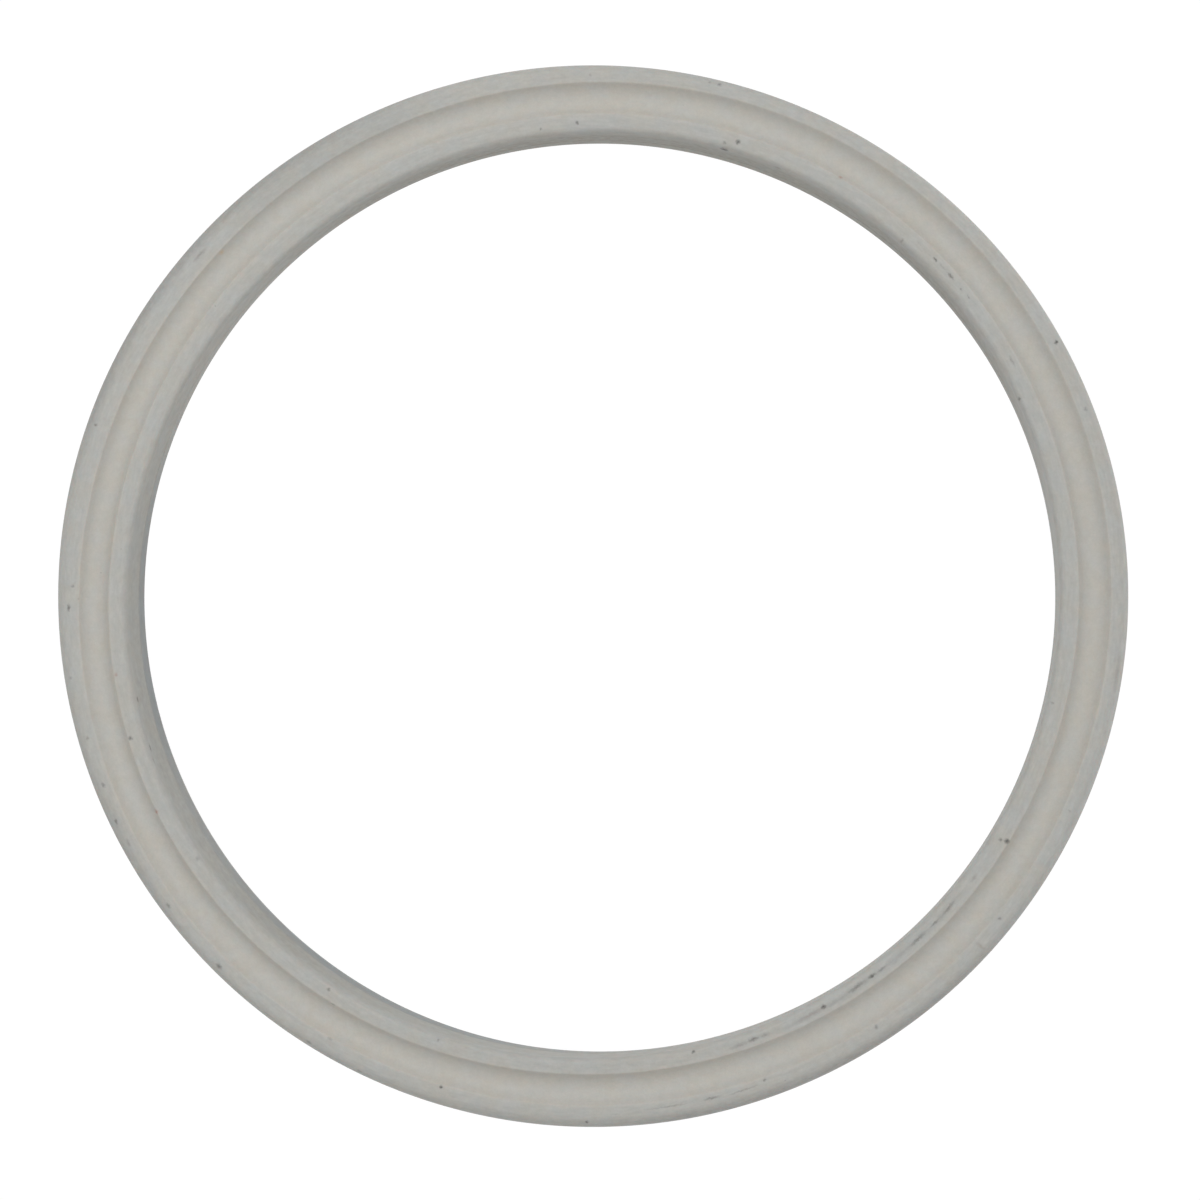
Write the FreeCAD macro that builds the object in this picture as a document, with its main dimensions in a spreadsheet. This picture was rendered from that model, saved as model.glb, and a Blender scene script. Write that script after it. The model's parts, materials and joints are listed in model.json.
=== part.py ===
import FreeCAD, Part
import math
import os

import Sketcher

# Thermostat gasket: one moulded ring of pale silicone rubber with a shallow sealing groove in each face.
# Frame: millimetres, origin at the centre of the underside, +Z up along the ring's axis.

PIECE = "gasket_ring"
OUTPUT_FOLDER = "parts"
VOLUME_TOLERANCE = 1e-6

# What rounding takes off a square edge: its area as a share of the radius squared, and how far the centre of
# that area lies from each side as a share of the radius
ROUNDING_AREA = 1 - math.pi / 4
ROUNDING_CENTRE = (10 - 3 * math.pi) / (12 - 3 * math.pi)

# Driving dimensions: name, value in millimetres, what it measures
DIMENSIONS = [
    ("outer_diameter", 66.0, "across the outer wall"),
    ("ring_height", 4.5, "underside to top face"),
    ("radial_width", 4.3, "inner wall to outer wall"),
    ("outer_corner_radius", 0.8, "rounding of both edges of the outer wall"),
    ("inner_corner_radius", 0.4, "rounding of both edges of the inner wall"),
    ("groove_width", 1.9, "across the mouth of each face groove"),
    ("groove_depth", 0.45, "face to the lowest point of the groove"),
]

# Sizes that follow from the driving dimensions, written for the sheet
OUTER_RADIUS = "sizes.outer_diameter / 2"
MIDDLE_RADIUS = "sizes.outer_diameter / 2 - sizes.radial_width / 2"
GROOVE_CUTTER_RADIUS = "sizes.groove_width ^ 2 / (8 * sizes.groove_depth) + sizes.groove_depth / 2"
CUTTER_LIFT = GROOVE_CUTTER_RADIUS + " - sizes.groove_depth"

# Point positions on a sketch edge, and the sketch's own axes
START, END, CENTRE = 1, 2, 3
ORIGIN_POINT = (-1, 1)
RADIAL_AXIS = -1


def make_sheet(document):
    """Fill the spreadsheet that holds every driving dimension under its own name."""
    sheet = document.addObject("Spreadsheet::Sheet", "sizes")
    for row, (name, value, meaning) in enumerate(DIMENSIONS, start=1):
        sheet.set(f"A{row}", name)
        sheet.set(f"B{row}", str(value))
        sheet.setAlias(f"B{row}", name)
        sheet.set(f"C{row}", meaning)
    document.recompute()
    return sheet


def origin_plane(body, role):
    """Return the body's own origin plane with that role."""
    return next(plane for plane in body.Origin.OriginFeatures if plane.Role == role)


def add_sketch(body, name):
    """Add a sketch on the body's XZ plane: its X is the radius and its Y the height."""
    sketch = body.newObject("Sketcher::SketchObject", name)
    sketch.AttachmentSupport = [(origin_plane(body, "XZ_Plane"), "")]
    sketch.MapMode = "FlatFace"
    return sketch


def drive(sketch, name, kind, *arguments, size):
    """Add a dimension of that kind to the sketch and bind it to an expression on the sheet."""
    index = sketch.addConstraint(Sketcher.Constraint(kind, *arguments))
    sketch.renameConstraint(index, name)
    sketch.setExpression(f"Constraints.{name}", size)


def corner_arc(centre_x, centre_y, radius, first_quarter):
    """A quarter circle that starts that many quarter turns from the sketch's X direction."""
    circle = Part.Circle(FreeCAD.Vector(centre_x, centre_y, 0), FreeCAD.Vector(0, 0, 1), radius)
    start = first_quarter * math.pi / 2
    return Part.ArcOfCircle(circle, start, start + math.pi / 2)


def draw_section(body, size):
    """Draw the ring's section without its grooves: a rectangle, more rounded outside than inside."""
    sketch = add_sketch(body, "ring_section")
    outer = size["outer_diameter"] / 2
    inner = outer - size["radial_width"]
    top = size["ring_height"]
    outer_corner = size["outer_corner_radius"]
    inner_corner = size["inner_corner_radius"]

    def line(x1, y1, x2, y2):
        return Part.LineSegment(FreeCAD.Vector(x1, y1, 0), FreeCAD.Vector(x2, y2, 0))

    outer_centre = outer - outer_corner
    inner_centre = inner + inner_corner
    underside = sketch.addGeometry(line(inner_centre, 0, outer_centre, 0))
    lower_outer = sketch.addGeometry(corner_arc(outer_centre, outer_corner, outer_corner, 3))
    outer_wall = sketch.addGeometry(line(outer, outer_corner, outer, top - outer_corner))
    upper_outer = sketch.addGeometry(corner_arc(outer_centre, top - outer_corner, outer_corner, 0))
    top_face = sketch.addGeometry(line(outer_centre, top, inner_centre, top))
    upper_inner = sketch.addGeometry(corner_arc(inner_centre, top - inner_corner, inner_corner, 1))
    inner_wall = sketch.addGeometry(line(inner, top - inner_corner, inner, inner_corner))
    lower_inner = sketch.addGeometry(corner_arc(inner_centre, inner_corner, inner_corner, 2))

    outline = [underside, lower_outer, outer_wall, upper_outer]
    outline += [top_face, upper_inner, inner_wall, lower_inner]
    for edge, following in zip(outline, outline[1:] + outline[:1]):
        sketch.addConstraint(Sketcher.Constraint("Tangent", edge, END, following, START))
    for edge in (underside, top_face):
        sketch.addConstraint(Sketcher.Constraint("Horizontal", edge))
    for edge in (outer_wall, inner_wall):
        sketch.addConstraint(Sketcher.Constraint("Vertical", edge))
    for lower, upper in ((lower_outer, upper_outer), (lower_inner, upper_inner)):
        sketch.addConstraint(Sketcher.Constraint("Equal", lower, upper))
    sketch.addConstraint(Sketcher.Constraint("PointOnObject", underside, START, RADIAL_AXIS))

    drive(sketch, "outer_corner", "Radius", lower_outer, outer_corner, size="sizes.outer_corner_radius")
    drive(sketch, "inner_corner", "Radius", lower_inner, inner_corner, size="sizes.inner_corner_radius")
    drive(sketch, "outside", "DistanceX", *ORIGIN_POINT, outer_wall, START, outer, size=OUTER_RADIUS)
    drive(sketch, "width", "DistanceX", inner_wall, START, outer_wall, END, outer - inner,
          size="sizes.radial_width")
    drive(sketch, "height", "DistanceY", underside, END, top_face, START, top, size="sizes.ring_height")
    return sketch


def draw_groove_cutters(body, size):
    """Draw one circle above the ring and one below: each bites a shallow arc out of its face."""
    sketch = add_sketch(body, "groove_cutters")
    radius, middle, lift = groove_circle(size)
    top = size["ring_height"]
    normal = FreeCAD.Vector(0, 0, 1)
    upper = sketch.addGeometry(Part.Circle(FreeCAD.Vector(middle, top + lift, 0), normal, radius))
    lower = sketch.addGeometry(Part.Circle(FreeCAD.Vector(middle, -lift, 0), normal, radius))
    sketch.addConstraint(Sketcher.Constraint("Equal", upper, lower))
    sketch.addConstraint(Sketcher.Constraint("Vertical", upper, CENTRE, lower, CENTRE))

    drive(sketch, "bite", "Radius", upper, radius, size=GROOVE_CUTTER_RADIUS)
    drive(sketch, "reach", "DistanceX", *ORIGIN_POINT, upper, CENTRE, middle, size=MIDDLE_RADIUS)
    drive(sketch, "above", "DistanceY", *ORIGIN_POINT, upper, CENTRE, top + lift,
          size="sizes.ring_height + " + CUTTER_LIFT)
    drive(sketch, "below", "DistanceY", lower, CENTRE, *ORIGIN_POINT, lift, size=CUTTER_LIFT)
    return sketch


def groove_circle(size):
    """Radius of a groove's cutting circle, radius of its path round the axis, and its lift off the face."""
    depth = size["groove_depth"]
    radius = size["groove_width"] ** 2 / (8 * depth) + depth / 2
    middle_radius = (size["outer_diameter"] - size["radial_width"]) / 2
    return radius, middle_radius, radius - depth


def turn(body, kind, name, sketch):
    """Turn the sketch once round the ring's axis, as a solid (Revolution) or as a cut (Groove)."""
    feature = body.newObject("PartDesign::" + kind, name)
    feature.Profile = sketch
    feature.ReferenceAxis = (sketch, ["V_Axis"])
    feature.Angle = 360.0
    sketch.Visibility = False
    return feature


def make_gasket_ring(document, size):
    """Build the ring: a turned section, then a groove in the top face and one in the underside."""
    body = document.addObject("PartDesign::Body", PIECE)
    body.Label = PIECE
    body.Placement = FreeCAD.Placement()
    turn(body, "Revolution", "moulded_ring", draw_section(body, size))
    turn(body, "Groove", "face_grooves", draw_groove_cutters(body, size))
    return body


def rounding_loss(corner_radius, path_radius):
    """Volume that rounding takes off a wall's two edges, whose lost areas turn at the path radius."""
    return 2 * ROUNDING_AREA * corner_radius ** 2 * 2 * math.pi * path_radius


def expected_volume(size):
    """Volume by Pappus's rule: each area times the path of its centre round the axis."""
    outer = size["outer_diameter"] / 2
    inner = outer - size["radial_width"]
    outer_corner = size["outer_corner_radius"]
    inner_corner = size["inner_corner_radius"]
    radius, middle_radius, lift = groove_circle(size)
    groove_area = radius ** 2 * math.acos(lift / radius) - lift * size["groove_width"] / 2
    rectangle_area = size["radial_width"] * size["ring_height"]
    square_ring = 2 * math.pi * middle_radius * (rectangle_area - 2 * groove_area)
    outer_loss = rounding_loss(outer_corner, outer - ROUNDING_CENTRE * outer_corner)
    inner_loss = rounding_loss(inner_corner, inner + ROUNDING_CENTRE * inner_corner)
    return square_ring - outer_loss - inner_loss


def check(document, body, size):
    """Stop with a plain message if a feature failed, a sketch is loose or the solid isn't the one drawn."""
    failed = [item.Name for item in document.Objects if {"Invalid", "Error"} & set(item.State)]
    if failed:
        raise RuntimeError(f"features failed: {failed}")
    sketches = document.findObjects("Sketcher::SketchObject")
    loose = [sketch.Name for sketch in sketches if not sketch.FullyConstrained]
    if loose:
        raise RuntimeError(f"sketches aren't fully constrained: {loose}")
    if body.Shape.isNull() or not body.Shape.isValid() or len(body.Shape.Solids) != 1:
        raise RuntimeError(f"{body.Label} isn't one valid solid")
    wanted = expected_volume(size)
    if abs(body.Shape.Volume / wanted - 1) > VOLUME_TOLERANCE:
        raise RuntimeError(f"{body.Label} has volume {body.Shape.Volume:.4f} and should have {wanted:.4f}")


def main():
    """Build the gasket, check it and write its file."""
    document = FreeCAD.newDocument("thermostat_gasket")
    sheet = make_sheet(document)
    size = {name: float(sheet.get(name)) for name, _, _ in DIMENSIONS}
    ring = make_gasket_ring(document, size)
    document.recompute()
    check(document, ring, size)
    os.makedirs(OUTPUT_FOLDER, exist_ok=True)
    ring.Shape.exportStep(os.path.join(OUTPUT_FOLDER, ring.Label + ".step"))
    box = ring.Shape.optimalBoundingBox()
    print(f"{ring.Label}: {box.XLength:.2f} x {box.YLength:.2f} x {box.ZLength:.2f} mm, "
          f"volume {ring.Shape.Volume:.2f} mm3")


main()
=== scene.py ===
import json
import logging
import math
from dataclasses import dataclass, field
from enum import Enum

import bpy
import numpy as np
from mathutils import Matrix, Vector


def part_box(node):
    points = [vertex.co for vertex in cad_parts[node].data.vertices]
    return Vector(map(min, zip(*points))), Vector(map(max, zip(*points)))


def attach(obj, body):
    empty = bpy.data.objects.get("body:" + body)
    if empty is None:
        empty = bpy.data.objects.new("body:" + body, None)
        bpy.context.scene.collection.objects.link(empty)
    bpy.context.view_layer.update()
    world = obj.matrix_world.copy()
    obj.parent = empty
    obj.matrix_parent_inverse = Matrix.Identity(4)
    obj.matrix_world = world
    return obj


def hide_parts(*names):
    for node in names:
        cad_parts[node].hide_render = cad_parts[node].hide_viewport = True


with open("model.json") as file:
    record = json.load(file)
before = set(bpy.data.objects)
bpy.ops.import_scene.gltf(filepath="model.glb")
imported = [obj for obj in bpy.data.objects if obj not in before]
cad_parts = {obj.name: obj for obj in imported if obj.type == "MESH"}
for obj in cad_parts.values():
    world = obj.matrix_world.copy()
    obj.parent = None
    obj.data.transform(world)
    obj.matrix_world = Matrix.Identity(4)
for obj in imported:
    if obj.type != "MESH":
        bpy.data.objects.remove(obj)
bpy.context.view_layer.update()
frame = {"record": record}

MM = 0.001
RING_NODE = "gasket_ring"
BODY = "root"
BORE_MOUNT = "inner_wall"

WHITE = (1.0, 1.0, 1.0, 1.0)
# A noise texture's middle value, and the range that holds nearly all of it
NOISE_LOW, NOISE_MIDDLE, NOISE_HIGH = 0.3, 0.5, 0.7
# Sockets of a colour Mix node, by number because their names repeat: its two colours and its result
COLOUR_A, COLOUR_B, MIXED = 6, 7, 2

log = logging.getLogger("gasket")


def srgb(hex_colour: str) -> tuple[float, float, float, float]:
    """Turns an sRGB hex colour into linear light.

    Args:
        hex_colour: six hex digits, with or without a leading #.

    Returns:
        Linear red, green and blue from 0 to 1, and an alpha of 1.
    """
    digits = hex_colour.lstrip("#")
    shares = [int(digits[k:k + 2], 16) / 255 for k in (0, 2, 4)]
    linear = [s / 12.92 if s <= 0.04045 else ((s + 0.055) / 1.055) ** 2.4 for s in shares]
    return (*linear, 1.0)


def smooth_step(values: np.ndarray, low: float, high: float) -> np.ndarray:
    """Rises smoothly from 0 at low to 1 at high: three squares less two cubes of the share between them."""
    share = np.clip((values - low) / (high - low), 0.0, 1.0)
    return share * share * (3.0 - 2.0 * share)


class Tone(Enum):
    """What a mark on the ring is made of, as the colour that it leaves."""

    GRIME = "#3C3B39"
    RUST = "#93695B"
    OIL = "#7B7263"
    RESIN = "#B89A72"
    SCUFF = "#8D8989"


@dataclass(frozen=True)
class Mark:
    """One speck, scuff or stain on the upper side of the ring or on its inner wall.

    Fields: where it shows in the photograph, as its angle round the middle of the ring there and its
    distance from that middle in the photograph's pixels; its length along the ring and its width across it,
    in millimetres; how much of the rubber its middle hides; and its tone.
    """

    angle_deg: float
    reach_px: float
    length: float
    width: float
    cover: float
    tone: Tone = Tone.GRIME


# The photograph's dirt, read off it one by one. Most of it lies where the ring was handled: on both lands
# and the inner corner. The camera finds each mark's place on the rubber.
LAND_SPECKS = (
    Mark(20.8, 527.0, 0.25, 0.2, 0.35),
    Mark(24.8, 469.5, 0.2, 0.2, 0.6),
    Mark(28.7, 528.5, 0.2, 0.25, 1.0),
    Mark(49.0, 471.0, 0.15, 0.3, 0.4),
    Mark(72.3, 477.0, 0.25, 0.25, 0.9),
    Mark(73.8, 472.0, 0.2, 0.2, 0.5),
    Mark(76.1, 527.0, 0.2, 0.25, 0.6),
    Mark(77.2, 527.0, 0.15, 0.15, 0.4),
    Mark(90.3, 521.0, 0.15, 0.2, 0.35),
    Mark(91.9, 473.5, 0.2, 0.2, 0.7),
    Mark(96.4, 470.0, 0.15, 0.2, 0.6),
    Mark(161.0, 526.0, 0.15, 0.25, 0.65),
    Mark(178.9, 520.0, 0.2, 0.2, 0.5),
    Mark(180.3, 514.5, 0.1, 0.1, 0.3),
    Mark(181.3, 524.5, 0.4, 0.2, 0.75),
    Mark(188.9, 529.0, 0.2, 0.2, 0.35),
    Mark(195.7, 525.0, 0.25, 0.2, 0.4),
    Mark(197.1, 484.0, 0.25, 0.25, 0.75),
    Mark(201.1, 525.0, 0.3, 0.2, 0.6),
    Mark(205.3, 527.5, 0.3, 0.2, 0.6),
    # This and the long faint mark at 212 degrees darken a band along the outer land near its corner
    Mark(204.5, 527.0, 4.5, 0.5, 0.11),
    Mark(208.0, 526.0, 0.45, 0.2, 0.3),
    Mark(212.0, 527.0, 4.5, 0.5, 0.11),
    Mark(213.6, 475.0, 0.25, 0.3, 0.3),
    Mark(216.1, 525.5, 0.35, 0.2, 0.5),
    Mark(236.1, 474.0, 0.2, 0.2, 0.65),
    Mark(237.5, 484.0, 0.25, 0.1, 0.5),
    Mark(239.3, 515.0, 0.25, 0.2, 0.35),
    Mark(250.8, 470.5, 0.15, 0.2, 0.5),
    Mark(252.8, 514.0, 0.2, 0.2, 1.0),
    Mark(269.3, 526.0, 0.2, 0.2, 0.95),
    Mark(282.4, 467.0, 0.2, 0.2, 0.85),
    Mark(289.5, 513.5, 0.2, 0.2, 0.55),
    Mark(291.6, 521.5, 0.1, 0.1, 0.4),
    Mark(303.3, 516.0, 0.2, 0.25, 0.5),
    Mark(321.6, 519.0, 0.2, 0.2, 0.6),
    Mark(329.1, 475.0, 0.2, 0.2, 0.7),
    Mark(329.4, 481.0, 0.3, 0.3, 1.0),
    Mark(335.7, 523.0, 0.15, 0.2, 0.35),
    Mark(346.9, 472.0, 0.15, 0.2, 0.4),
)
LAND_SCUFFS = (
    Mark(29.2, 480.5, 0.7, 0.15, 0.35),
    Mark(38.5, 480.0, 0.3, 0.1, 0.45),
    Mark(39.8, 479.0, 0.2, 0.1, 0.55),
    Mark(41.8, 480.0, 0.5, 0.15, 0.7),
    Mark(43.2, 480.0, 0.75, 0.1, 0.25),
    Mark(44.5, 480.0, 0.3, 0.15, 0.9),
    Mark(139.0, 520.5, 1.0, 0.2, 0.4),
    Mark(224.7, 526.0, 0.4, 0.25, 0.7),
    Mark(237.5, 529.0, 0.4, 0.2, 0.45),
    Mark(243.8, 529.5, 0.25, 0.2, 0.45),
    Mark(272.5, 518.5, 0.45, 0.1, 0.2),
    Mark(278.5, 516.0, 2.2, 0.1, 0.35),
    Mark(283.3, 516.0, 0.9, 0.15, 0.55),
    Mark(287.0, 516.5, 1.65, 0.1, 0.35),
    Mark(288.0, 472.5, 1.0, 0.2, 0.25),
    Mark(289.9, 471.5, 0.6, 0.2, 0.6),
    Mark(289.9, 471.5, 3.0, 0.3, 0.1),
    Mark(291.5, 471.5, 0.5, 0.2, 0.25),
    Mark(297.5, 472.0, 3.5, 0.3, 0.2),
    Mark(299.3, 471.0, 0.3, 0.2, 0.8),
    Mark(304.0, 471.5, 1.0, 0.2, 0.4),
    Mark(304.0, 471.5, 3.5, 0.3, 0.2),
    Mark(306.3, 471.5, 0.45, 0.15, 0.8),
    Mark(307.7, 471.5, 0.6, 0.15, 0.4),
    Mark(311.0, 472.0, 3.0, 0.3, 0.2),
    Mark(313.5, 472.5, 1.1, 0.2, 0.45),
    Mark(316.2, 473.0, 0.6, 0.15, 0.45),
    Mark(318.0, 473.0, 3.0, 0.3, 0.2),
    Mark(318.8, 473.0, 0.9, 0.15, 0.4),
    Mark(323.5, 474.0, 0.5, 0.2, 0.2),
)
WALL_SPECKS = (
    Mark(73.6, 465.0, 0.45, 0.35, 1.0),
    Mark(192.8, 467.0, 0.3, 0.25, 0.75),
    Mark(198.9, 468.0, 0.5, 0.2, 0.65),
    Mark(200.5, 469.0, 0.5, 0.1, 0.35),
)
STAINS = (
    Mark(59.4, 486.5, 0.25, 0.2, 0.7, Tone.RUST),
    Mark(189.4, 483.5, 0.25, 0.2, 0.5, Tone.RUST),
    Mark(206.3, 487.0, 0.3, 0.25, 0.75, Tone.RUST),
    Mark(297.5, 472.0, 1.5, 0.2, 0.15, Tone.RUST),
    Mark(66.7, 466.0, 0.4, 0.25, 0.5, Tone.OIL),
    Mark(317.9, 522.0, 0.2, 0.55, 0.35, Tone.OIL),
    Mark(137.2, 506.0, 0.3, 0.25, 0.6, Tone.RESIN),
    Mark(351.5, 530.0, 2.3, 0.25, 0.45, Tone.SCUFF),
    Mark(353.0, 526.0, 0.55, 0.2, 0.3, Tone.SCUFF),
)


@dataclass(frozen=True)
class Wave:
    """One wave of a rim's out-of-round: amplitude times cosine of lobes times the angle off its peak."""

    lobes: int
    amplitude: float
    peak_deg: float

    def at(self, angle: np.ndarray) -> np.ndarray:
        """Radial shift in millimetres at these angles in radians."""
        return self.amplitude * np.cos(self.lobes * (angle - math.radians(self.peak_deg)))


@dataclass(frozen=True)
class Patch:
    """A stretch of the ring that has more grime, painted shade or painted light than the rest.

    Fields: the angle of its middle, how far it reaches to each side, and its strength there.
    """

    middle_deg: float
    half_deg: float
    strength: float

    def at(self, angle: np.ndarray) -> np.ndarray:
        """Strength at these angles in radians, fading smoothly over the outer half of the patch."""
        away = np.abs((np.degrees(angle) - self.middle_deg + 180.0) % 360.0 - 180.0)
        return self.strength * (1.0 - smooth_step(away, self.half_deg / 2, self.half_deg))


def strength_of(patches: tuple[Patch, ...], angle: np.ndarray) -> np.ndarray:
    """Adds up the strengths of several patches at these angles in radians."""
    return sum((patch.at(angle) for patch in patches), np.zeros_like(angle))


def shift_of(waves: tuple[Wave, ...], angle: np.ndarray) -> np.ndarray:
    """Adds up a rim's waves at these angles in radians, in millimetres."""
    return sum((wave.at(angle) for wave in waves), np.zeros_like(angle))


def arc(centre: tuple[float, float], radius: float, start_deg: float, end_deg: float,
        steps: int) -> np.ndarray:
    """Points on a circle in the section's plane, from the start angle up to but not including the end.

    Args:
        centre: the circle's centre, distance from the ring's axis and height.
        radius: the circle's radius.
        start_deg: where the arc starts, 0 pointing away from the axis and 90 up.
        end_deg: where the arc ends.
        steps: how many points.

    Returns:
        An array of steps rows: distance from the axis, height.
    """
    turn = np.radians(np.linspace(start_deg, end_deg, steps, endpoint=False))
    return np.stack([centre[0] + radius * np.cos(turn), centre[1] + radius * np.sin(turn)], axis=1)


def run(start: tuple[float, float], end: tuple[float, float], steps: int) -> np.ndarray:
    """Points on a straight line in the section's plane, from the start up to but not including the end."""
    share = np.linspace(0.0, 1.0, steps, endpoint=False)[:, None]
    return np.asarray(start) * (1.0 - share) + np.asarray(end) * share


@dataclass
class GasketRing:
    """The moulded ring: a near-square section with round corners and a shallow groove, turned once round.

    The rubber isn't quite round. Each rim has its own waves, and the top face's groove and inner edge lie a
    little off the walls, as where the two halves of a mould don't meet exactly. Sizes are in millimetres.
    """

    outer_radius: float
    bore_radius: float
    height: float
    outer_corner: float = 0.8
    inner_corner: float = 0.4
    groove_width: float = 1.9
    groove_depth: float = 0.42
    groove_inset: float = 0.09
    groove_edge_radius: float = 0.2
    flank_width: float = 0.3
    parting_height: float = 1.6
    parting_ridge: float = 0.02
    parting_width: float = 0.06
    # Heights at which the wall is drawn round the parting line, in parting widths off its middle
    parting_stations: tuple[float, ...] = (-2.0, -1.0, -0.5, 0.0, 0.5, 1.0, 2.0, 4.0)
    segments: int = 800
    inner_corner_steps: int = 8
    outer_corner_steps: int = 12
    land_steps: int = 3
    fillet_steps: int = 4
    bowl_steps: int = 16
    wall_steps: int = 3
    outer_waves: tuple[Wave, ...] = (Wave(2, 0.275, -3.0),)
    groove_waves: tuple[Wave, ...] = (Wave(1, 0.27, 6.0), Wave(2, 0.32, 16.0), Wave(3, 0.08, 86.0))
    rim_waves: tuple[Wave, ...] = (Wave(1, 0.3, -18.0), Wave(2, 0.35, 22.5), Wave(3, 0.09, 84.0))
    foot_waves: tuple[Wave, ...] = (Wave(0, -0.03, 0.0), Wave(1, 0.15, -26.0), Wave(2, 0.17, -8.0))
    # Depths under the face where the inner wall's painted shade and grime start and where they are full,
    # in inner corner radii
    wall_shade_grime_start: float = 0.55
    wall_shade_grime_full: float = 1.6
    # How much of the painted shade and grime shows at the wall's upper end, of what shows at its foot
    wall_shade_grime_above: float = 0.75
    wall_shade_grime_all_round: float = 0.26
    # Patches of painted shade and grime on the inner wall, strongest where it faces away from the light
    wall_shade_grime: tuple[Patch, ...] = (Patch(75.0, 70.0, 0.72), Patch(185.0, 75.0, 0.2),
                                     Patch(240.0, 25.0, 0.15))
    # The painted shade at the wall's foot thins out from this much below the parting line
    # to this much above it
    foot_shade_fade_below: float = 0.12
    foot_shade_fade_above: float = 0.24
    # Patches of painted shade at the inner wall's foot
    foot_shade_patches: tuple[Patch, ...] = (Patch(20.0, 50.0, 0.2), Patch(183.0, 24.0, 0.4), Patch(212.0, 66.0, 0.5),
                                    Patch(250.0, 34.0, 0.4))
    # How far in from the outer wall the painted shade and the painted light on the outer corner are full and
    # where each ends, in outer corner radii
    edge_full: float = 0.2
    edge_light_end: float = 0.7
    edge_shade_end: float = 1.0
    # Painted shade on the outer corner, on the side away from the light
    edge_shade_patches: tuple[Patch, ...] = (Patch(140.0, 32.0, 1.0), Patch(206.0, 18.0, 0.2),
                                     Patch(296.0, 26.0, 0.6))
    # Painted light on the outer corner, on the side towards the light
    edge_light_patches: tuple[Patch, ...] = (Patch(12.0, 58.0, 1.0),)
    land_smudge: tuple[Patch, ...] = (Patch(120.0, 16.0, 1.0),)
    name: str = "moulded_ring"
    wall_out: float = field(init=False)
    wall_in: float = field(init=False)
    groove_radius: float = field(init=False)

    def __post_init__(self) -> None:
        """Draws the walls in so that the widest part of the oval stays inside the frame's box."""
        reach = sum(wave.amplitude for wave in self.outer_waves) + self.parting_ridge
        self.wall_out = self.outer_radius - reach
        self.wall_in = self.bore_radius - reach
        self.groove_radius = (self.wall_out + self.wall_in) / 2 - self.groove_inset

    def face(self) -> np.ndarray:
        """The section across the top face, from the inner wall's upper end to the outer wall's.

        Two quarter circles make the corners. The groove is a shallow arc of a circle whose radius follows
        from its width and depth, and a small fillet rounds each of its edges: the fillet's centre lies one
        fillet radius under the face, and as far from the groove's centre as both radii together.

        Returns:
            Rows of distance from the axis and height.
        """
        top, edge = self.height, self.groove_edge_radius
        half, depth = self.groove_width / 2, self.groove_depth
        bowl = (half * half + depth * depth) / (2 * depth)
        bowl_centre = (self.groove_radius, top + bowl - depth)
        fillet_reach = math.sqrt((bowl + edge) ** 2 - (bowl - depth + edge) ** 2)
        slope = math.degrees(math.atan2(fillet_reach, bowl - depth + edge))
        fillet_in = (self.groove_radius - fillet_reach, top - edge)
        fillet_out = (self.groove_radius + fillet_reach, top - edge)
        corner_in = (self.wall_in + self.inner_corner, top - self.inner_corner)
        corner_out = (self.wall_out - self.outer_corner, top - self.outer_corner)
        return np.concatenate([
            arc(corner_in, self.inner_corner, 180, 90, self.inner_corner_steps),
            run((corner_in[0], top), (fillet_in[0], top), self.land_steps),
            arc(fillet_in, edge, 90, 90 - slope, self.fillet_steps),
            arc(bowl_centre, bowl, 270 - slope, 270 + slope, self.bowl_steps),
            arc(fillet_out, edge, 90 + slope, 90, self.fillet_steps),
            run((fillet_out[0], top), (corner_out[0], top), self.land_steps),
            arc(corner_out, self.outer_corner, 90, 0, self.outer_corner_steps),
        ])

    def wall(self, radius: float, corner: float, ridge_side: float) -> np.ndarray:
        """The section up one wall, with the mould's parting line standing on it as a fine bell-shaped ridge.

        Args:
            radius: the wall's distance from the axis.
            corner: the radius of the corners at the wall's two ends.
            ridge_side: 1 where the ridge stands away from the axis, -1 where it stands towards it.

        Returns:
            Rows of distance from the axis and height, from the lower corner to the upper one.
        """
        near = self.parting_height + self.parting_width * np.array(self.parting_stations)
        plain = np.linspace(near[-1], self.height - corner, self.wall_steps + 1)[1:]
        heights = np.concatenate([[corner], near, plain])
        bell = np.exp(-((heights - self.parting_height) / self.parting_width) ** 2)
        return np.stack([radius + ridge_side * self.parting_ridge * bell, heights], axis=1)

    def section(self) -> np.ndarray:
        """The closed section: up the inner wall, out across the top, down the outer wall and back below.

        The underside is the top face mirrored about half the ring's height.

        Returns:
            Rows of distance from the axis and height.
        """
        top = self.face()
        top_end = np.array([[self.wall_out, self.height - self.outer_corner]])
        below = np.concatenate([top, top_end])[::-1] * (1.0, -1.0) + (0.0, self.height)
        inner = self.wall(self.wall_in, self.inner_corner, -1.0)[:-1]
        outer = self.wall(self.wall_out, self.outer_corner, 1.0)[::-1][:-1]
        return np.concatenate([inner, top, outer, below[:-1]])

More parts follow.
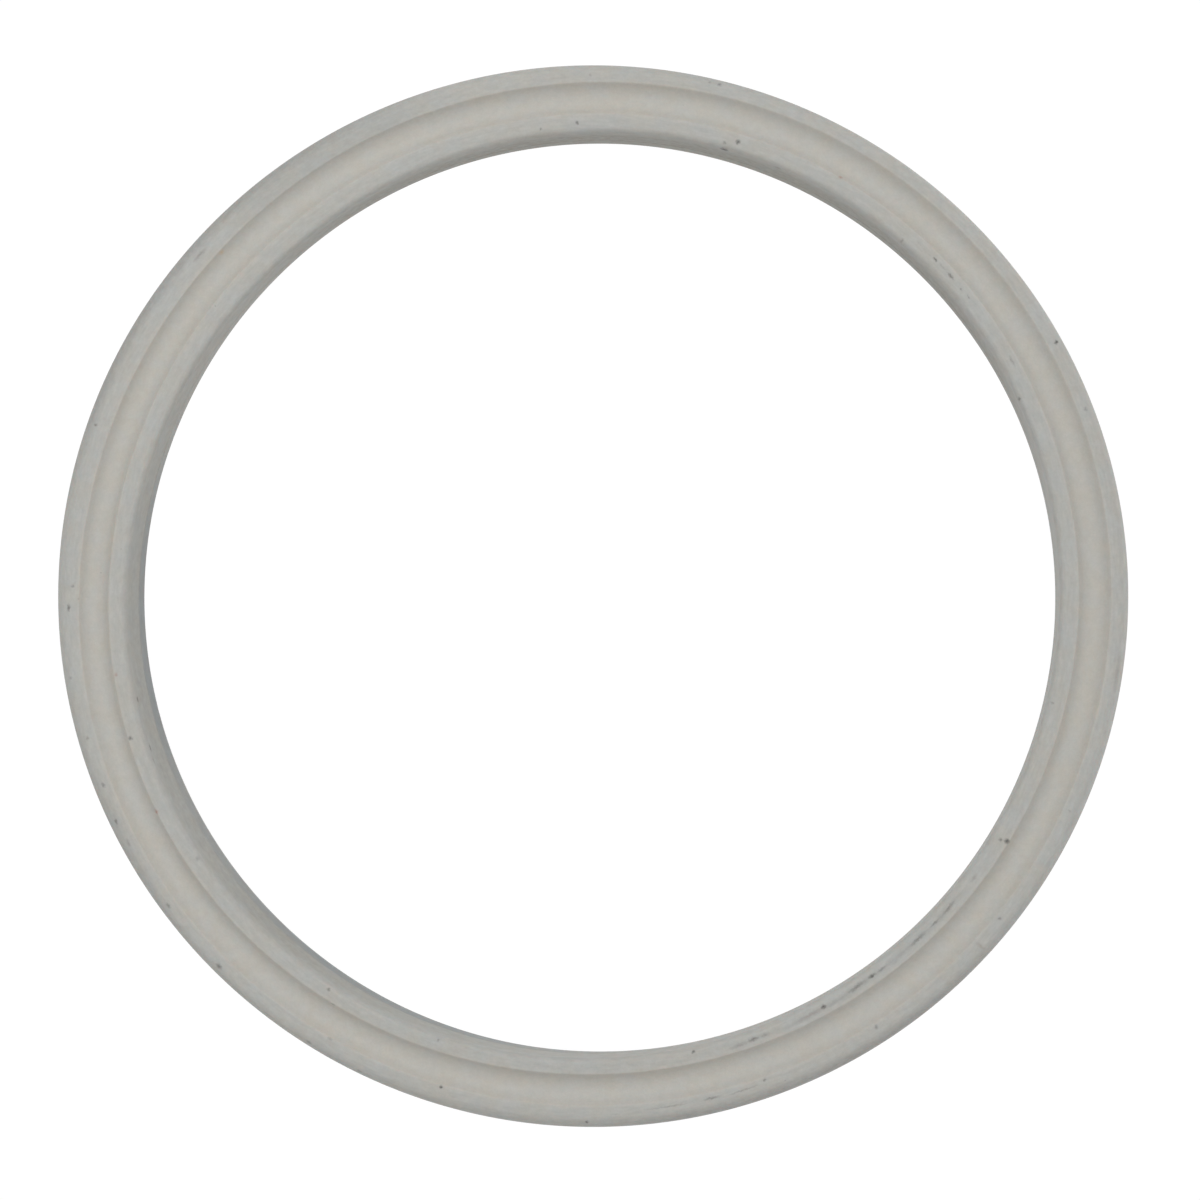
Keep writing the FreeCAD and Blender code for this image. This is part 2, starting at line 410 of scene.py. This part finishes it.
    def shift(self, radius: np.ndarray, height: np.ndarray, angle: np.ndarray) -> np.ndarray:
        """How far each point lies off the true circle, in millimetres.

        At the top the shift runs in straight steps from the inner rim's waves to the groove's, and from the
        groove's to the outer wall's. At the foot it runs from the foot's waves to the outer wall's. Between
        top and foot it goes by the share of the height.

        Args:
            radius: each point's distance from the axis.
            height: its height.
            angle: its angle in radians.

        Returns:
            How much further from the axis each point goes.
        """
        across = (radius - self.wall_in) / (self.wall_out - self.wall_in)
        half = self.groove_width / 2 / (self.wall_out - self.wall_in)
        middle = (self.groove_radius - self.wall_in) / (self.wall_out - self.wall_in)
        rim = np.clip(1.0 - across / (middle - half), 0.0, 1.0)
        wall = np.clip((across - middle - half) / (1.0 - middle - half), 0.0, 1.0)
        outer = shift_of(self.outer_waves, angle)
        top = rim * shift_of(self.rim_waves, angle) + wall * outer
        top = top + (1.0 - rim - wall) * shift_of(self.groove_waves, angle)
        foot = (1.0 - across) * shift_of(self.foot_waves, angle) + across * outer
        up = np.clip(height / self.height, 0.0, 1.0)
        return up * top + (1.0 - up) * foot

    def build(self) -> bpy.types.Object:
        """Carries the section round the axis and gives the mesh the attributes that its finish reads.

        A point's place is its distance from the axis, shifted, at its angle, and its own height.

        Returns:
            The ring's object, at the origin.
        """
        section = self.section()
        angle = np.linspace(0.0, 2 * math.pi, self.segments, endpoint=False)
        radius = np.repeat(section[:, :1], self.segments, axis=1)
        height = np.repeat(section[:, 1:], self.segments, axis=1)
        turn = np.broadcast_to(angle, radius.shape)
        shifted = radius + self.shift(radius, height, turn)
        points = np.stack([shifted * np.cos(turn), shifted * np.sin(turn), height], axis=-1) * MM
        piece = grid_piece(self.name, points)
        self.mark_groove(piece, radius, height)
        self.mark_inner_wall(piece, radius, height, turn)
        self.mark_outer_edge(piece, radius, turn)
        return piece

    def mark_groove(self, piece: bpy.types.Object, radius: np.ndarray, height: np.ndarray) -> None:
        """Writes groove, 1 in the bowls and 0 past their edges, and flank, 1 on the bowls' steep sides.

        Args:
            piece: the ring's object.
            radius: each vertex's distance from the axis before its shift.
            height: its height.
        """
        away = np.abs(radius - self.groove_radius)
        half = self.groove_width / 2
        near_face = np.minimum(height, self.height - height) < self.groove_depth + self.groove_edge_radius
        edge = smooth_step(away, half - self.groove_edge_radius, half + self.groove_edge_radius)
        inside = near_face * (1.0 - edge)
        write_attribute(piece, "groove", inside)
        write_attribute(piece, "flank", inside * smooth_step(away, half - self.flank_width, half))

    def mark_inner_wall(self, piece: bpy.types.Object, radius: np.ndarray, height: np.ndarray,
                        turn: np.ndarray) -> None:
        """Writes wall, the inner wall's painted shade and grime, and the painted shade at its foot.

        The wall's darkening starts on the upper corner and grows a little towards the foot, which is
        painted shade. Both lie in patches, and a thinner darkening goes all the way round.

        Args:
            piece: the ring's object.
            radius: each vertex's distance from the axis before its shift.
            height: its height.
            turn: its angle in radians.
        """
        inner = radius < self.wall_in + self.inner_corner
        depth = 1.0 - height / self.height
        start = smooth_step(self.height - height, self.inner_corner * self.wall_shade_grime_start,
                            self.inner_corner * self.wall_shade_grime_full)
        down = self.wall_shade_grime_above + (1.0 - self.wall_shade_grime_above) * depth
        thick = self.wall_shade_grime_all_round + strength_of(self.wall_shade_grime, turn)
        # Painted shade and grime on the inner wall, growing towards the foot
        write_attribute(piece, "wall", inner * start * down * thick)
        # Painted shade at the wall's foot, below the parting line
        low = 1.0 - smooth_step(height, self.parting_height - self.foot_shade_fade_below,
                                self.parting_height + self.foot_shade_fade_above)
        write_attribute(piece, "foot_shade", inner * low * strength_of(self.foot_shade_patches, turn))

    def mark_outer_edge(self, piece: bpy.types.Object, radius: np.ndarray, turn: np.ndarray) -> None:
        """Writes edge, the outer corners' painted shade, their painted light, and smudge.

        The first two fade out on the corner, the shade over all of its radius and the light nearer the wall.
        The smudge lies on the land between the groove and the wall.

        Args:
            piece: the ring's object.
            radius: each vertex's distance from the axis before its shift.
            turn: its angle in radians.
        """
        corner = (self.wall_out - radius) / self.outer_corner
        edge_shade_share = 1.0 - smooth_step(corner, self.edge_full, self.edge_shade_end)
        edge_light_share = 1.0 - smooth_step(corner, self.edge_full, self.edge_light_end)
        past_groove = radius - self.groove_radius - self.groove_width / 2
        smudged = smooth_step(past_groove, -self.groove_edge_radius, self.groove_edge_radius)
        # Painted shade on the outer corners away from the light, and painted light on them towards it
        write_attribute(piece, "edge", edge_shade_share * strength_of(self.edge_shade_patches, turn))
        write_attribute(piece, "edge_light", edge_light_share * strength_of(self.edge_light_patches, turn))
        write_attribute(piece, "smudge", smudged * strength_of(self.land_smudge, turn))


def grid_piece(name: str, points: np.ndarray) -> bpy.types.Object:
    """Makes an object from a grid of points that closes on itself both ways.

    Args:
        name: the object's name.
        points: metres, indexed by section point, ring step and axis.

    Returns:
        The object, smooth shaded, with its faces pointing outwards.
    """
    rows, columns = points.shape[:2]
    index = np.arange(rows * columns).reshape(rows, columns)
    right = np.roll(index, -1, axis=1)
    up = np.roll(index, -1, axis=0)
    corner = np.roll(up, -1, axis=1)
    quads = np.stack([index, up, corner, right], axis=-1).reshape(-1, 4)
    mesh = bpy.data.meshes.new(name)
    mesh.from_pydata(points.reshape(-1, 3), [], quads)
    mesh.shade_smooth()
    mesh.update()
    piece = bpy.data.objects.new(name, mesh)
    bpy.context.scene.collection.objects.link(piece)
    return piece


def write_attribute(piece: bpy.types.Object, name: str, values: np.ndarray) -> None:
    """Stores one number a vertex on the piece's mesh, in the grid's own order."""
    layer = piece.data.attributes.new(name, "FLOAT", "POINT")
    layer.data.foreach_set("value", np.ascontiguousarray(values, dtype=np.float32).ravel())


@dataclass
class NodeBoard:
    """The node tree of a material or a world, and the one function that adds to it."""

    owner: bpy.types.Material | bpy.types.World
    tree: bpy.types.NodeTree = field(init=False)

    def __post_init__(self) -> None:
        """Finds the owner's tree and empties it."""
        self.owner.use_nodes = True
        self.tree = self.owner.node_tree
        self.tree.nodes.clear()

    def add(self, kind: str, settings: dict | None = None, inputs: dict | None = None) -> bpy.types.Node:
        """Adds a node.

        Args:
            kind: the node's type, without ShaderNode.
            settings: its own properties.
            inputs: values or output sockets for its inputs, by name or number.

        Returns:
            The node.
        """
        node = self.tree.nodes.new("ShaderNode" + kind)
        for key, value in (settings or {}).items():
            setattr(node, key, value)
        for key, value in (inputs or {}).items():
            if isinstance(value, bpy.types.NodeSocket):
                self.tree.links.new(value, node.inputs[key])
            else:
                node.inputs[key].default_value = value
        return node


@dataclass(frozen=True)
class MouldedSilicone:
    """Grey silicone rubber, compression moulded in a blasted steel mould.

    To the eye: a matte, even, slightly chalky grey, a touch translucent, a little warmer in the groove,
    with faint cloudy variation, a skin of very fine grain and dirt that clings where it was handled.
    The colour also holds painted shade, on the inner wall and its foot and on the outer corner away from
    the light, and painted light, on the outer corner towards the light and on the groove's steep sides.
    Sizes are in millimetres, and a shade or a swing is how far a pattern goes to each side of the middle.
    """

    land: str = "#A8A8A4"
    groove: str = "#AEACA6"
    flank: str = "#B3B0A9"
    # Painted light: paler than the groove, which lifts the shade of its steep sides; also a touch warmer
    smudged_land: str = "#A2A29E"
    # Painted shade and grime on the inner wall
    shaded_grimy_wall: str = "#89877F"
    # Painted shade at the inner wall's foot
    foot_shade: str = "#848889"
    # Painted light on the outer corner where it faces the light
    lit_edge: str = "#B4B4B0"
    # Painted shade on the outer corner where it faces away from the light
    shaded_edge: str = "#989895"
    cool_cloud: str = "#FDFEFF"
    warm_cloud: str = "#FFFDFA"
    roughness: float = 0.62
    roughness_swing: float = 0.06
    ior: float = 1.41
    translucency: float = 0.12
    light_reach: float = 0.5
    cloud_size: float = 1.3
    # Noise levels at which a cloud is wholly cool and wholly warm
    cloud_cool_level: float = 0.35
    cloud_warm_level: float = 0.65
    # Real mould grain is about 0.02 mm; drawn at 0.12 mm so that it shows at all
    grain_size: float = 0.12
    grain_height: float = 0.006
    grain_shade: float = 0.03
    shade_grime_size: float = 0.35
    shade_grime_swing: float = 0.3
    mottle_size: float = 0.4
    mottle_shade: float = 0.03
    streak_length: float = 0.7
    streak_width: float = 0.14
    streak_shade: float = 0.05
    speck_spacing: float = 1.5
    speck_radius: float = 0.06
    speck_cover: float = 0.3
    # A cell's random level below which it has no speck, and above which it has a full one
    speck_none_level: float = 0.6
    speck_full_level: float = 0.8
    smudge_size: float = 0.16
    smudge_reach: float = 0.1
    # A mark fades out at this many times its half length and half width
    mark_spread: float = 1.5

    def dress(self, piece: bpy.types.Object, places: dict[Mark, Vector]) -> None:
        """Gives the piece its material, with its marks of dirt.

        Args:
            piece: the piece, which has the attributes that zones and streaks read.
            places: where on the piece each mark lies, in metres.
        """
        board = NodeBoard(bpy.data.materials.new("moulded_silicone_rubber"))
        place = board.add("TexCoord").outputs["Object"]
        grain = board.add("TexNoise", {}, {"Vector": place, "Detail": 2.0,
                                           "Scale": 1.0 / (self.grain_size * MM)})
        colour = self.zones(board, place)
        colour = self.cloud(board, place, colour, grain.outputs["Fac"])
        colour = self.specks(board, place, colour)
        colour = self.dirt(board, place, colour, places)
        bump = board.add("Bump", {}, {"Height": grain.outputs["Fac"], "Distance": self.grain_height * MM,
                                      "Strength": 1.0})
        rough = board.add("MapRange", {}, {"Value": grain.outputs["Fac"],
                                           "To Min": self.roughness - self.roughness_swing,
                                           "To Max": self.roughness + self.roughness_swing})
        shader = board.add("BsdfPrincipled", {}, {"Base Color": colour, "Normal": bump.outputs["Normal"],
                                                  "Roughness": rough.outputs["Result"], "IOR": self.ior,
                                                  "Subsurface Weight": self.translucency,
                                                  "Subsurface Scale": self.light_reach * MM})
        board.add("OutputMaterial", {}, {"Surface": shader.outputs["BSDF"]})
        piece.data.materials.append(board.owner)

    def zones(self, board: NodeBoard, place: bpy.types.NodeSocket) -> bpy.types.NodeSocket:
        """Lays each zone's colour over the lands' grey, by the piece's own attributes.

        A noise takes some grime and painted shade off the smudge, the wall and the edge here and adds some
        there.

        Args:
            board: the material's nodes.
            place: the piece's own coordinates.

        Returns:
            The colour of the rubber, its grime, and its painted shade and light.
        """
        blotch = board.add("TexNoise", {}, {"Vector": place, "Detail": 3.0,
                                            "Scale": 1.0 / (self.shade_grime_size * MM)})
        uneven = board.add("MapRange", {}, {"Value": blotch.outputs["Fac"],
                                            "From Min": NOISE_LOW, "From Max": NOISE_HIGH,
                                            "To Min": 1.0 - self.shade_grime_swing,
                                            "To Max": 1.0 + self.shade_grime_swing}).outputs["Result"]
        # Besides the groove's colour and the smudge's grime, these zones lay painted light on the groove's
        # steep sides and the outer corner's lit side, painted shade and grime on the inner wall, and painted
        # shade at its foot and far corner
        zones = (("groove", self.groove, 1.0), ("flank", self.flank, 1.0),
                 ("smudge", self.smudged_land, uneven), ("wall", self.shaded_grimy_wall, uneven),
                 ("foot_shade", self.foot_shade, 1.0), ("edge_light", self.lit_edge, 1.0), ("edge", self.shaded_edge, uneven))
        colour = srgb(self.land)
        for name, hex_colour, strength in zones:
            share = board.add("Attribute", {"attribute_name": name}).outputs["Fac"]
            cover = board.add("Math", {"operation": "MULTIPLY"}, {0: share, 1: strength}).outputs[0]
            colour = board.add("Mix", {"data_type": "RGBA"},
                               {"Factor": cover, COLOUR_A: colour,
                                COLOUR_B: srgb(hex_colour)}).outputs[MIXED]
        return colour

    def cloud(self, board: NodeBoard, place: bpy.types.NodeSocket, colour: bpy.types.NodeSocket,
              grain: bpy.types.NodeSocket) -> bpy.types.NodeSocket:
        """Varies the colour: soft clouds from cool to warm, mottling a third as large, streaks and grain.

        Args:
            board: the material's nodes.
            place: the piece's own coordinates.
            colour: the colour to vary.
            grain: the noise of the mould's grain.

        Returns:
            The varied colour.
        """
        cloud = board.add("TexNoise", {}, {"Vector": place, "Detail": 1.0,
                                           "Scale": 1.0 / (self.cloud_size * MM)})
        spread = board.add("MapRange", {}, {"Value": cloud.outputs["Fac"],
                                            "From Min": self.cloud_cool_level,
                                            "From Max": self.cloud_warm_level})
        hue = board.add("Mix", {"data_type": "RGBA"}, {"Factor": spread.outputs["Result"],
                                                       COLOUR_A: srgb(self.cool_cloud),
                                                       COLOUR_B: srgb(self.warm_cloud)})
        colour = board.add("Mix", {"data_type": "RGBA", "blend_type": "MULTIPLY"},
                           {"Factor": 1.0, COLOUR_A: colour, COLOUR_B: hue.outputs[MIXED]}).outputs[MIXED]
        mottle = board.add("TexNoise", {}, {"Vector": place, "Scale": 1.0 / (self.mottle_size * MM)})
        streak = self.streaks(board, place)
        patterns = ((mottle.outputs["Fac"], self.mottle_shade), (grain, self.grain_shade),
                    (streak, self.streak_shade))
        for pattern, shade in patterns:
            level = board.add("MapRange", {}, {"Value": pattern,
                                               "From Min": NOISE_LOW, "From Max": NOISE_HIGH,
                                               "To Min": 1.0 - shade, "To Max": 1.0 + shade})
            colour = board.add("VectorMath", {"operation": "SCALE"},
                               {"Vector": colour, "Scale": level.outputs["Result"]}).outputs["Vector"]
        return colour

    def streaks(self, board: NodeBoard, place: bpy.types.NodeSocket) -> bpy.types.NodeSocket:
        """Draws fine rub streaks along the ring, which leave the bottom of the groove clean.

        The noise has four dimensions. It changes slowly with the place, and its fourth runs fast with the
        distance from the origin, so its spots are long along the ring and narrow across it.

        Args:
            board: the material's nodes.
            place: the piece's own coordinates.

        Returns:
            The streaks' noise, even in the groove.
        """
        reach = board.add("VectorMath", {"operation": "LENGTH"}, {0: place}).outputs["Value"]
        across = board.add("Math", {"operation": "MULTIPLY"},
                           {0: reach, 1: self.streak_length / self.streak_width})
        noise = board.add("TexNoise", {"noise_dimensions": "4D"},
                          {"Vector": place, "W": across.outputs[0],
                           "Scale": 1.0 / (self.streak_length * MM)})
        groove = board.add("Attribute", {"attribute_name": "groove"}).outputs["Fac"]
        return board.add("Mix", {"data_type": "FLOAT"},
                         {"Factor": groove, "A": noise.outputs["Fac"], "B": NOISE_MIDDLE}).outputs["Result"]

    def specks(self, board: NodeBoard, place: bpy.types.NodeSocket,
               colour: bpy.types.NodeSocket) -> bpy.types.NodeSocket:
        """Dusts the rubber with sparse fine specks, one at the seed point of some cells of a loose grid.

        Args:
            board: the material's nodes.
            place: the piece's own coordinates.
            colour: the colour to dust.

        Returns:
            The dusted colour.
        """
        cells = board.add("TexVoronoi", {}, {"Vector": place, "Scale": 1.0 / (self.speck_spacing * MM)})
        size = self.speck_radius / self.speck_spacing
        dot = board.add("MapRange", {}, {"Value": cells.outputs["Distance"], "From Min": size,
                                         "From Max": size / 2, "To Max": self.speck_cover})
        pick = board.add("MapRange", {}, {"Value": cells.outputs["Color"],
                                          "From Min": self.speck_none_level,
                                          "From Max": self.speck_full_level})
        cover = board.add("Math", {"operation": "MULTIPLY"},
                          {0: dot.outputs["Result"], 1: pick.outputs["Result"]})
        return board.add("Mix", {"data_type": "RGBA"},
                         {"Factor": cover.outputs[0], COLOUR_A: colour,
                          COLOUR_B: srgb(Tone.GRIME.value)}).outputs[MIXED]

    def dirt(self, board: NodeBoard, place: bpy.types.NodeSocket, colour: bpy.types.NodeSocket,
             places: dict[Mark, Vector]) -> bpy.types.NodeSocket:
        """Lays the marks over the colour.

        Each mark is a ball that fades from its middle outwards, stretched to the mark's length and width and
        turned along the ring. A fine noise first pushes every point a little, so no mark is a clean oval.

        Args:
            board: the material's nodes.
            place: the piece's own coordinates.
            colour: the colour to lay them on.
            places: where on the piece each mark lies, in metres.

        Returns:
            The marked colour.
        """
        smudge = board.add("TexNoise", {}, {"Vector": place, "Scale": 1.0 / (self.smudge_size * MM)})
        push = board.add("VectorMath", {"operation": "MULTIPLY_ADD"},
                         {0: smudge.outputs["Color"], 1: (2 * self.smudge_reach * MM,) * 3, 2: place})
        centred = board.add("VectorMath", {"operation": "SUBTRACT"},
                            {0: push.outputs[0], 1: (self.smudge_reach * MM,) * 3})
        for tone in Tone:
            cover = 0.0
            for mark in (mark for mark in places if mark.tone is tone):
                middle = places[mark]
                half = (mark.length / 2, mark.width / 2, mark.width / 2)
                local = board.add("Mapping", {"vector_type": "TEXTURE"}, {
                    "Vector": centred.outputs[0],
                    "Location": middle,
                    "Rotation": (0.0, 0.0, math.atan2(middle.y, middle.x) + math.pi / 2),
                    "Scale": Vector(half) * (self.mark_spread * MM)})
                ball = board.add("TexGradient", {"gradient_type": "SPHERICAL"},
                                 {"Vector": local.outputs["Vector"]})
                cover = board.add("Math", {"operation": "MULTIPLY_ADD"},
                                  {0: ball.outputs["Fac"], 1: mark.cover, 2: cover}).outputs[0]
            colour = board.add("Mix", {"data_type": "RGBA"},
                               {"Factor": cover, COLOUR_A: colour,
                                COLOUR_B: srgb(tone.value)}).outputs[MIXED]
        return colour


@dataclass
class Studio:
    """A lit opal table under one wide soft light, and a lamp nearer by, towards the photograph's upper left.

    The wide light is a round cap of sky: full strength near its axis, fading out by its edge, with a dim
    room below. The lamp is so near that the side of the ring next to it is lit a little more than the rest.
    Sizes and places are in millimetres, the lamp's power in watts.
    """

    floor_half: float = 1500.0
    floor_drop: float = 0.02
    floor_shade: float = 0.02
    floor_roughness: float = 0.9
    floor_glow: float = 1.0
    cap_azimuth_deg: float = 63.0
    cap_elevation_deg: float = 80.0
    cap_full_deg: float = 61.0
    cap_edge_deg: float = 73.0
    cap_strength: float = 1.104
    room_strength: float = 0.04
    backdrop_white: float = 1.0
    lamp_place: tuple[float, float, float] = (-44.0, 76.0, 150.0)
    lamp_width: float = 120.0
    lamp_power: float = 0.053

    def build(self) -> None:
        """Lays the table, lights the room and hangs the lamp."""
        self.lay_table()
        self.light_room()
        self.hang_lamp()

    def lay_table(self) -> None:
        """Lays a flat square sheet just under the ring's foot, in opal acrylic that is lit from below.

        Its own colour is nearly black, so that only its glow shows and no shadow lies on it.
        """
        half, level = self.floor_half * MM, -self.floor_drop * MM
        corners = [(-half, -half, level), (half, -half, level), (half, half, level), (-half, half, level)]
        mesh = bpy.data.meshes.new("opal_table")
        mesh.from_pydata(corners, [], [(0, 1, 2, 3)])
        table = bpy.data.objects.new("opal_table", mesh)
        bpy.context.scene.collection.objects.link(table)
        board = NodeBoard(bpy.data.materials.new("lit_opal_acrylic"))
        shade = (self.floor_shade, self.floor_shade, self.floor_shade, 1.0)
        shader = board.add("BsdfPrincipled", {}, {"Base Color": shade, "Roughness": self.floor_roughness,
                                                  "Emission Color": WHITE,
                                                  "Emission Strength": self.floor_glow,
                                                  "Specular IOR Level": 0.0})
        board.add("OutputMaterial", {}, {"Surface": shader.outputs["BSDF"]})
        mesh.materials.append(board.owner)

    def light_room(self) -> None:
        """Makes the room's light, a cap of sky by the cosine of the angle off its axis, and a backdrop.

        The backdrop is what a camera sees where it looks past the table. It gives no light of its own.
        """
        world = bpy.data.worlds.new("soft_overhead_light")
        board = NodeBoard(world)
        azimuth, elevation = math.radians(self.cap_azimuth_deg), math.radians(self.cap_elevation_deg)
        level = math.cos(elevation)
        axis = (level * math.cos(azimuth), level * math.sin(azimuth), math.sin(elevation))
        place = board.add("TexCoord")
        off = board.add("VectorMath", {"operation": "DOT_PRODUCT"},
                        {0: place.outputs["Generated"], 1: axis})
        cap = board.add("MapRange", {"interpolation_type": "SMOOTHSTEP"},
                        {"Value": off.outputs["Value"],
                         "From Min": math.cos(math.radians(self.cap_edge_deg)),
                         "From Max": math.cos(math.radians(self.cap_full_deg)),
                         "To Min": self.room_strength, "To Max": self.cap_strength})
        path = board.add("LightPath")
        seen = board.add("Mix", {"data_type": "FLOAT"},
                         {"Factor": path.outputs["Is Camera Ray"], "A": cap.outputs["Result"],
                          "B": self.backdrop_white})
        sky = board.add("Background", {}, {"Color": WHITE, "Strength": seen.outputs["Result"]})
        board.add("OutputWorld", {}, {"Surface": sky.outputs["Background"]})
        bpy.context.scene.world = world
        bpy.context.scene.view_settings.view_transform = "Standard"

    def hang_lamp(self) -> None:
        """Hangs a soft round lamp that faces the middle of the ring. A camera doesn't see it."""
        data = bpy.data.lights.new("near_lamp", "AREA")
        data.shape = "DISK"
        data.size = self.lamp_width * MM
        data.energy = self.lamp_power
        lamp = bpy.data.objects.new("near_lamp", data)
        place = Vector(self.lamp_place)
        turn = place.to_track_quat("Z", "Y").to_matrix().to_4x4()
        lamp.matrix_world = Matrix.Translation(place * MM) @ turn
        lamp.visible_camera = False
        bpy.context.scene.collection.objects.link(lamp)


@dataclass
class PhotoCamera:
    """The photograph's viewpoint: about 190 mm above the ring's top face, a little to its right.

    Places, lens and sensor are in millimetres. The ring's middle is read in the photograph, from its upper
    left corner.
    """

    place: tuple[float, float, float] = (26.12, -2.45, 194.5)
    aim: tuple[float, float, float] = (1.24, -0.306, 4.5)
    lens: float = 94.54
    sensor: float = 36.0
    nearest_seen: float = 10.0
    photo_width_px: float = 1200.0
    ring_middle_px: tuple[float, float] = (593.0, 596.0)

    def directions(self) -> tuple[Vector, Vector, Vector]:
        """Works out the camera's axes. The picture's upper edge is towards +Y.

        Returns:
            The camera's right, its up and the way it looks, each one unit long.
        """
        forward = (Vector(self.aim) - Vector(self.place)).normalized()
        right = forward.cross(Vector((0.0, 1.0, 0.0))).normalized()
        return right, right.cross(forward), forward

    def build(self) -> None:
        """Makes the camera and makes it the scene's own."""
        data = bpy.data.cameras.new("photo_camera")
        data.lens = self.lens
        data.sensor_width = self.sensor
        data.clip_start = self.nearest_seen * MM
        camera = bpy.data.objects.new("photo_camera", data)
        right, up, forward = self.directions()
        turn = Matrix((right, up, -forward)).transposed().to_4x4()
        camera.matrix_world = Matrix.Translation(Vector(self.place) * MM) @ turn
        bpy.context.scene.collection.objects.link(camera)
        bpy.context.scene.camera = camera

    def find(self, mark: Mark, piece: bpy.types.Object) -> Vector:
        """Finds where a mark lies on a piece: the first point that the line of sight through it meets.

        Args:
            mark: the mark, placed as it shows in the photograph.
            piece: the piece that it lies on, at the origin.

        Returns:
            The point, in metres.
        """
        angle = math.radians(mark.angle_deg)
        across = self.ring_middle_px[0] + mark.reach_px * math.cos(angle) - self.photo_width_px / 2
        above = self.photo_width_px / 2 - self.ring_middle_px[1] + mark.reach_px * math.sin(angle)
        right, up, forward = self.directions()
        sight = right * across + up * above + forward * (self.photo_width_px * self.lens / self.sensor)
        met, point, _, _ = piece.ray_cast(Vector(self.place) * MM, sight.normalized())
        if not met:
            raise RuntimeError(f"the mark at {mark.angle_deg} degrees misses {piece.name}")
        return point


def bore_radius_of(record: dict) -> float:
    """Reads the inner wall's radius in millimetres from the record's mounts."""
    return next(mount["dims"]["r_mm"] for mount in record["mounts"] if mount["name"] == BORE_MOUNT)


def main() -> None:
    """Builds the ring and the camera, dresses the ring, reports it, and builds the studio round it."""
    logging.basicConfig(level=logging.INFO, format="%(message)s")
    low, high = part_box(RING_NODE)
    ring = GasketRing(outer_radius=(high.x - low.x) / 2 / MM, bore_radius=bore_radius_of(frame["record"]),
                      height=(high.z - low.z) / MM)
    piece = ring.build()
    camera = PhotoCamera()
    camera.build()
    bpy.context.view_layer.update()
    marks = LAND_SPECKS + LAND_SCUFFS + WALL_SPECKS + STAINS
    MouldedSilicone().dress(piece, {mark: camera.find(mark, piece) for mark in marks})
    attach(piece, BODY)
    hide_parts(RING_NODE)
    log.info("%s: %d faces", piece.name, len(piece.data.polygons))
    Studio().build()


if __name__ == "__main__":
    main()
